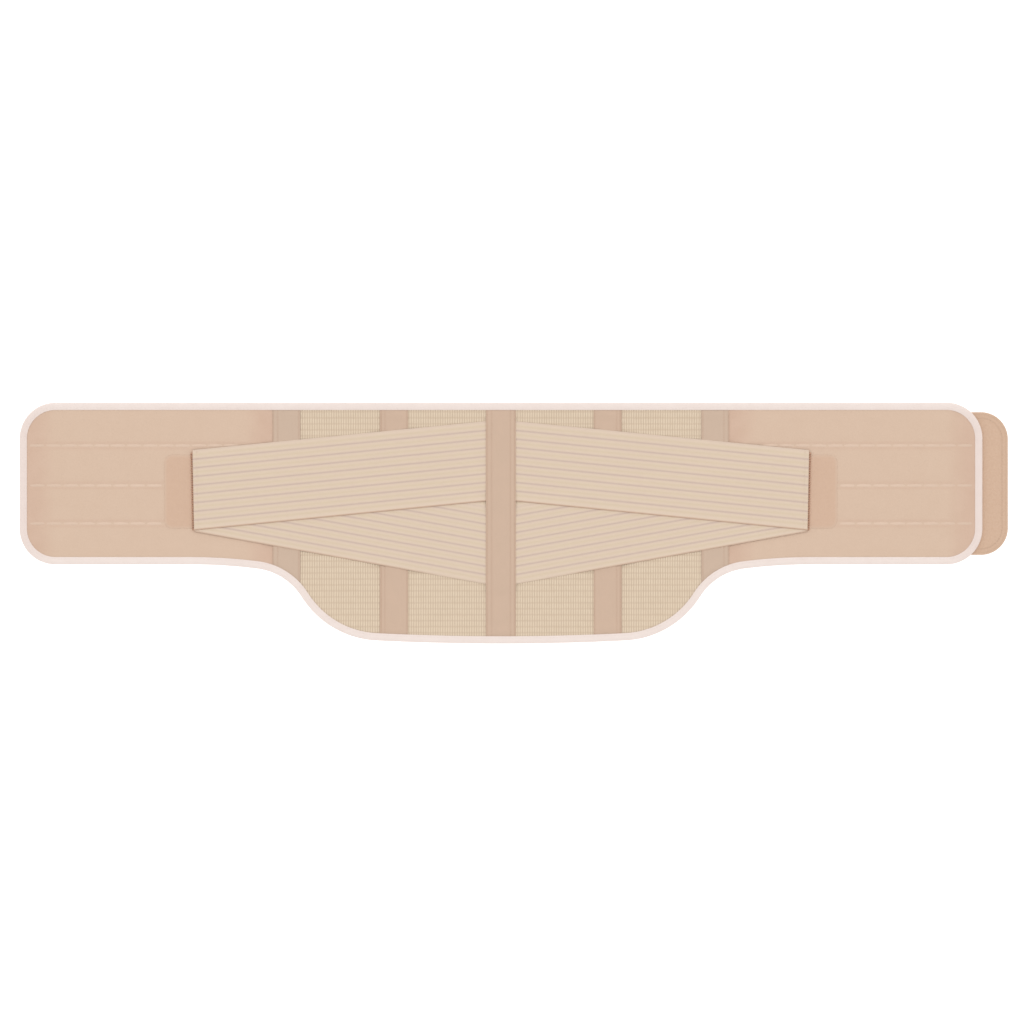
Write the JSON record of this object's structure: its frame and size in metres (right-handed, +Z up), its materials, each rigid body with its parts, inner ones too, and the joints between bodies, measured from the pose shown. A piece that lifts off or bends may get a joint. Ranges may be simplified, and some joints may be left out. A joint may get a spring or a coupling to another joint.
{
  "type": "prenatal and postpartum belt",
  "caption": "Wide cloth support belt laid flat, with a mesh back panel and lobe, quilted wings, bound edge, stay tapes, fanned elastic straps and hook tabs.",
  "frame": {"origin": "on the underside of the back panel, where the spine line crosses the middle line of the two wings", "axes": "+X along the belt towards the end with the closure tab, +Y towards the belt's top edge, +Z up out of its outer face"},
  "size_m": [0.9891, 0.2412, 0.0085],
  "materials": {
    "mesh": "fine beige spacer mesh with small rows of openings",
    "wing_cloth": "brushed beige loop cloth, quilted",
    "binding": "pale blush folded stretch binding",
    "tape": "smooth woven tape with stitched edges",
    "elastic": "cream ribbed elastic webbing",
    "hook_tab": "matt hook tape with a fine mottled face"
  },
  "bodies": {
    "root": {"back_panel": "mesh", "wing_left": "wing_cloth", "wing_right": "wing_cloth", "edge_binding": "binding", "closure_tab": "hook_tab", "spine_tape": "tape", "stay_tape_left": "tape", "stay_tape_right": "tape", "seam_tape_left": "tape", "seam_tape_right": "tape", "strap_lower_left": "elastic", "strap_lower_right": "elastic", "strap_upper_left": "elastic", "strap_upper_right": "elastic", "strap_tab_left": "hook_tab", "strap_tab_right": "hook_tab"}
  },
  "joints": []
}
